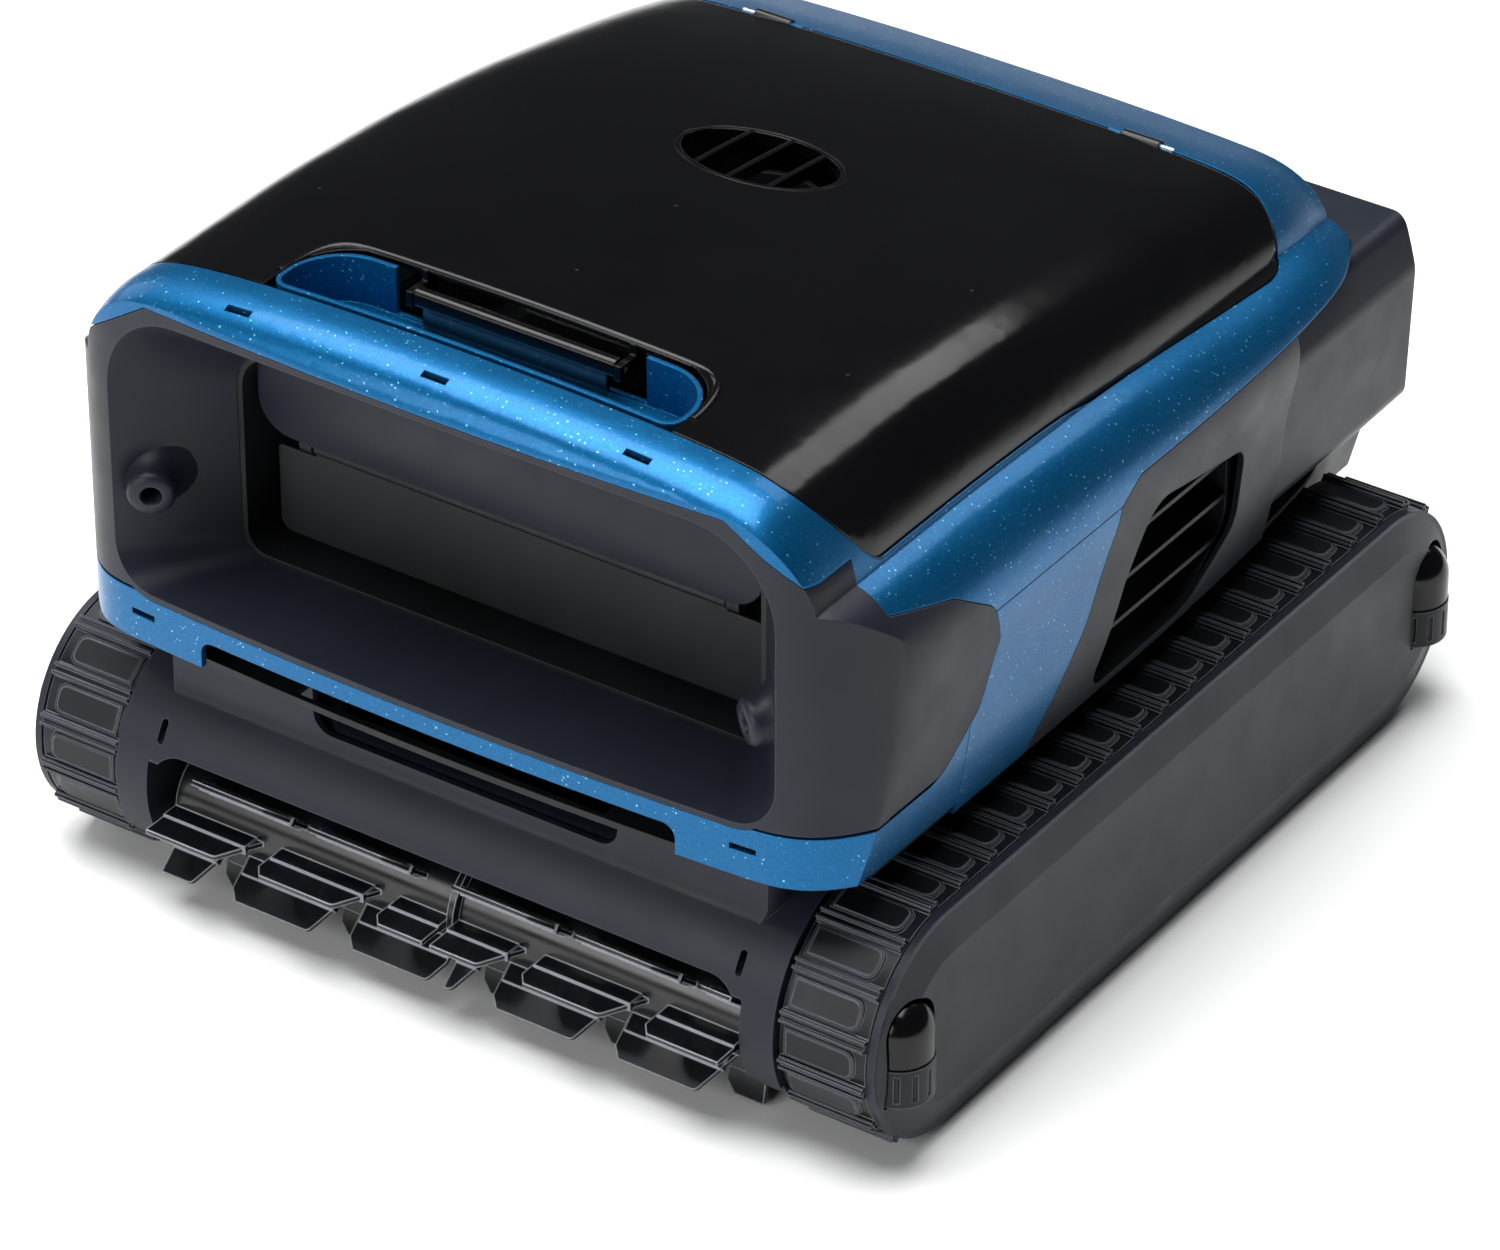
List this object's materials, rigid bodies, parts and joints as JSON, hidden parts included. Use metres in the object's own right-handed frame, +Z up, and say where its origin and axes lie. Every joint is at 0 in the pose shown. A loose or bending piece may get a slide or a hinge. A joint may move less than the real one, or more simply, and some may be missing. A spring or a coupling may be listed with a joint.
{
  "type": "pool cleaner",
  "caption": "Tracked robotic pool cleaner with a wide front mouth, opening glossy lid with a vent, rubber drive belts, rolling brush and side guide rollers.",
  "frame": {"origin": "bottom centre of the whole machine, on the floor it stands on", "axes": "+Z up, +Y towards the rear, +X along the wheel axles, to the right when the machine is seen from its front"},
  "size_m": [0.4392, 0.4568, 0.3015],
  "materials": {
    "blue_paint": "metallic flake, clear coated",
    "gloss_black": "high gloss",
    "grey_shell": "satin, fine grain",
    "black_plastic": "satin moulded",
    "white_plastic": "moulded nylon",
    "mesh_fabric": "fine woven mesh",
    "foam_white": "closed cell foam",
    "track_rubber": "moulded rubber",
    "steel": "brushed",
    "motor_metal": "satin",
    "sprocket_nylon": "glass-filled nylon",
    "circuit_green": "solder mask"
  },
  "bodies": {
    "hull": {"top_frame": "blue_paint", "handle_pocket": "blue_paint", "mouth_bezel": "grey_shell", "intake_duct": "grey_shell", "lower_lip": "blue_paint", "side_skirts": "blue_paint", "side_panel_right": "grey_shell", "side_panel_left": "grey_shell", "side_grilles": "black_plastic", "rear_housing": "grey_shell", "rear_port_plate": "grey_shell", "charge_contacts": "steel", "deck_plate": "black_plastic", "deck_screws": "steel", "lower_chassis": "black_plastic", "hull_gasket": "track_rubber", "battery_pack": "black_plastic", "control_case": "black_plastic", "control_board": "circuit_green", "float_blocks": "foam_white", "filter_basket": "white_plastic", "filter_mesh": "mesh_fabric", "pump_housing": "black_plastic", "pump_motor": "motor_metal", "jet_pumps": "black_plastic", "roller_housing": "grey_shell", "brush_bearings": "white_plastic", "brush_motor": "motor_metal", "track_frames": "black_plastic", "idler_axles": "steel", "drive_motors": "motor_metal", "track_belt_right": "track_rubber", "track_belt_left": "track_rubber", "track_cover_right": "grey_shell", "track_cover_left": "grey_shell", "roller_caps": "gloss_black", "roller_pins": "steel", "pivot_pins": "steel"},
    "lid": {"lid_panel": "gloss_black", "vent_grille": "gloss_black", "latch_pin": "steel"},
    "latch": {"latch_paddle": "gloss_black"},
    "flap": {"intake_flap": "black_plastic"},
    "brush": {"brush_core": "black_plastic", "brush_shaft": "steel", "brush_left": "track_rubber", "brush_right": "track_rubber", "brush_gear": "white_plastic"},
    "idler_gear": {"idler_gear": "white_plastic"},
    "motor_pinion": {"motor_pinion": "steel"},
    "sprocket_right": {"drive_sprocket_right": "sprocket_nylon"},
    "sprocket_left": {"drive_sprocket_left": "sprocket_nylon"},
    "idler_right": {"idler_wheel_right": "black_plastic"},
    "idler_left": {"idler_wheel_left": "black_plastic"},
    "roller_front_right": {"guide_roller_front_right": "black_plastic"},
    "roller_front_left": {"guide_roller_front_left": "black_plastic"},
    "roller_rear_right": {"guide_roller_rear_right": "black_plastic"},
    "roller_rear_left": {"guide_roller_rear_left": "black_plastic"},
    "impeller": {"pump_impeller": "white_plastic"},
    "button": {"power_button": "black_plastic"}
  },
  "joints": [
    {"name": "lid_hinge", "type": "hinge", "parent": "hull", "child": "lid", "pos_m": [0, 0.15396, 0.2614], "axis": [-1, 0, 0], "range_deg": [0, 72]},
    {"name": "latch_pull", "type": "hinge", "parent": "lid", "child": "latch", "pos_m": [0, -0.15824, 0.293], "axis": [1, 0, 0], "range_deg": [0, 18], "stiffness_Nm_per_rad": 0.15, "springref_deg": -11.46},
    {"name": "flap_swing", "type": "hinge", "parent": "hull", "child": "flap", "pos_m": [0, -0.15924, 0.205], "axis": [1, 0, 0], "range_deg": [0, 70]},
    {"name": "brush_spin", "type": "hinge", "parent": "hull", "child": "brush", "pos_m": [0, -0.18824, 0.041], "axis": [1, 0, 0], "continuous": true},
    {"name": "idler_gear_spin", "type": "hinge", "parent": "hull", "child": "idler_gear", "pos_m": [-0.1555, -0.16516, 0.07056], "axis": [1, 0, 0], "continuous": true},
    {"name": "pinion_spin", "type": "hinge", "parent": "hull", "child": "motor_pinion", "pos_m": [-0.1555, -0.14474, 0.08], "axis": [1, 0, 0], "continuous": true},
    {"name": "sprocket_right_spin", "type": "hinge", "parent": "hull", "child": "sprocket_right", "pos_m": [0.1787, 0.17419, 0.0542], "axis": [1, 0, 0], "continuous": true, "deforming": ["track_belt_right"]},
    {"name": "idler_right_spin", "type": "hinge", "parent": "hull", "child": "idler_right", "pos_m": [0.1787, -0.16667, 0.0542], "axis": [1, 0, 0], "continuous": true},
    {"name": "sprocket_left_spin", "type": "hinge", "parent": "hull", "child": "sprocket_left", "pos_m": [-0.1787, 0.17419, 0.0542], "axis": [1, 0, 0], "continuous": true, "deforming": ["track_belt_left"]},
    {"name": "idler_left_spin", "type": "hinge", "parent": "hull", "child": "idler_left", "pos_m": [-0.1787, -0.16667, 0.0542], "axis": [1, 0, 0], "continuous": true},
    {"name": "roller_front_right_spin", "type": "hinge", "parent": "hull", "child": "roller_front_right", "pos_m": [0.205, -0.19474, 0.0447], "axis": [0, 0, 1], "continuous": true},
    {"name": "roller_front_left_spin", "type": "hinge", "parent": "hull", "child": "roller_front_left", "pos_m": [-0.205, -0.19474, 0.0447], "axis": [0, 0, 1], "continuous": true},
    {"name": "roller_rear_right_spin", "type": "hinge", "parent": "hull", "child": "roller_rear_right", "pos_m": [0.205, 0.20226, 0.0447], "axis": [0, 0, 1], "continuous": true},
    {"name": "roller_rear_left_spin", "type": "hinge", "parent": "hull", "child": "roller_rear_left", "pos_m": [-0.205, 0.20226, 0.0447], "axis": [0, 0, 1], "continuous": true},
    {"name": "impeller_spin", "type": "hinge", "parent": "hull", "child": "impeller", "pos_m": [0, 0.00876, 0.219], "axis": [0, 0, 1], "continuous": true},
    {"name": "button_press", "type": "slide", "parent": "hull", "child": "button", "axis": [0, -1, 0], "range_m": [0, 0.0015], "stiffness_N_per_m": 900, "springref_m": -0.001}
  ],
  "couplings": [
    {"joint": "idler_gear_spin", "follows": "brush_spin", "ratio": -1.5},
    {"joint": "pinion_spin", "follows": "brush_spin", "ratio": 3},
    {"joint": "idler_right_spin", "follows": "sprocket_right_spin", "ratio": 1},
    {"joint": "idler_left_spin", "follows": "sprocket_left_spin", "ratio": 1}
  ]
}
